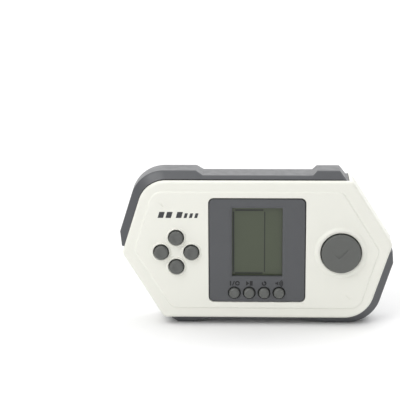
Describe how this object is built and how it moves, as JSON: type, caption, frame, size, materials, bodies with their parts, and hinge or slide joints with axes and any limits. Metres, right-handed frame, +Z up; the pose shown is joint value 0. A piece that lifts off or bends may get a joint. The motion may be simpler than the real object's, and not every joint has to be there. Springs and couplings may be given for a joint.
{
  "type": "handheld lcd game",
  "caption": "Long six-sided two-hand electronic game with a portrait display, direction buttons, a large round button and small function buttons.",
  "frame": {"origin": "centre of the bounding box's base: midway along the length and the depth, on the plane of the two feet", "axes": "+X to the player's right along the length, +Y from the display towards the back, +Z up the face"},
  "size_m": [0.1508, 0.0276, 0.0874],
  "materials": {
    "white_plastic": "warm white moulded plastic, fine satin texture",
    "dark_plastic": "dark grey moulded plastic, fine satin texture",
    "bezel_plastic": "mid grey moulded plastic, fine satin texture",
    "button_plastic": "warm grey moulded plastic, satin",
    "display_film": "grey-green polarising film with a printed border",
    "display_glass": "clear",
    "reflector_foil": "brushed",
    "keypad_rubber": "matte",
    "carbon_rubber": "matte",
    "board_laminate": "phenolic board",
    "black_epoxy": "gloss",
    "wire_insulation_red": "satin",
    "wire_insulation_black": "satin",
    "steel": "zinc plated",
    "cell_jacket": "printed film jacket, left plain",
    "print_ink": "printed marks"
  },
  "bodies": {
    "casing": {"front_shell": "white_plastic", "rear_shell": "dark_plastic", "screen_bezel": "bezel_plastic", "display_polariser": "display_film", "display_glass": "display_glass", "display_reflector": "reflector_foil", "display_holder": "white_plastic", "display_connector": "carbon_rubber", "main_board": "board_laminate", "chip": "black_epoxy", "capacitor": "cell_jacket", "direction_keypad": "keypad_rubber", "action_keypad": "keypad_rubber", "function_keypad": "keypad_rubber", "speaker": "steel", "speaker_wire_red": "wire_insulation_red", "speaker_wire_black": "wire_insulation_black", "battery_1": "cell_jacket", "battery_2": "cell_jacket", "bridge_contact": "steel", "negative_contact": "steel", "positive_contact": "steel", "case_screw_1": "steel", "case_screw_2": "steel", "case_screw_3": "steel", "case_screw_4": "steel", "case_screw_5": "steel", "case_screw_6": "steel", "board_screw_1": "steel", "board_screw_2": "steel", "board_screw_3": "steel", "board_screw_4": "steel"},
    "door": {"battery_door": "dark_plastic", "door_screw": "steel"},
    "up_key": {"up_button": "button_plastic", "up_contact": "carbon_rubber"},
    "down_key": {"down_button": "button_plastic", "down_contact": "carbon_rubber"},
    "left_key": {"left_button": "button_plastic", "left_contact": "carbon_rubber"},
    "right_key": {"right_button": "button_plastic", "right_contact": "carbon_rubber"},
    "action_key": {"action_button": "button_plastic", "action_contact": "carbon_rubber"},
    "power_key": {"power_button": "button_plastic", "power_contact": "carbon_rubber"},
    "pause_key": {"pause_button": "button_plastic", "pause_contact": "carbon_rubber"},
    "reset_key": {"reset_button": "button_plastic", "reset_contact": "carbon_rubber"},
    "sound_key": {"sound_button": "button_plastic", "sound_contact": "carbon_rubber"}
  },
  "joints": [
    {"name": "up_press", "type": "slide", "parent": "casing", "child": "up_key", "axis": [0, 1, 0], "range_m": [0, 0.001], "stiffness_N_per_m": 600, "springref_m": -0.001},
    {"name": "down_press", "type": "slide", "parent": "casing", "child": "down_key", "axis": [0, 1, 0], "range_m": [0, 0.001], "stiffness_N_per_m": 600, "springref_m": -0.001},
    {"name": "left_press", "type": "slide", "parent": "casing", "child": "left_key", "axis": [0, 1, 0], "range_m": [0, 0.001], "stiffness_N_per_m": 600, "springref_m": -0.001},
    {"name": "right_press", "type": "slide", "parent": "casing", "child": "right_key", "axis": [0, 1, 0], "range_m": [0, 0.001], "stiffness_N_per_m": 600, "springref_m": -0.001},
    {"name": "action_press", "type": "slide", "parent": "casing", "child": "action_key", "axis": [0, 1, 0], "range_m": [0, 0.0012], "stiffness_N_per_m": 600, "springref_m": -0.001},
    {"name": "power_press", "type": "slide", "parent": "casing", "child": "power_key", "axis": [0, 1, 0], "range_m": [0, 0.0008], "stiffness_N_per_m": 600, "springref_m": -0.001},
    {"name": "pause_press", "type": "slide", "parent": "casing", "child": "pause_key", "axis": [0, 1, 0], "range_m": [0, 0.0008], "stiffness_N_per_m": 600, "springref_m": -0.001},
    {"name": "reset_press", "type": "slide", "parent": "casing", "child": "reset_key", "axis": [0, 1, 0], "range_m": [0, 0.0008], "stiffness_N_per_m": 600, "springref_m": -0.001},
    {"name": "sound_press", "type": "slide", "parent": "casing", "child": "sound_key", "axis": [0, 1, 0], "range_m": [0, 0.0008], "stiffness_N_per_m": 600, "springref_m": -0.001},
    {"name": "door_lift", "type": "slide", "parent": "casing", "child": "door", "axis": [0, 1, 0], "range_m": [0, 0.015]}
  ]
}
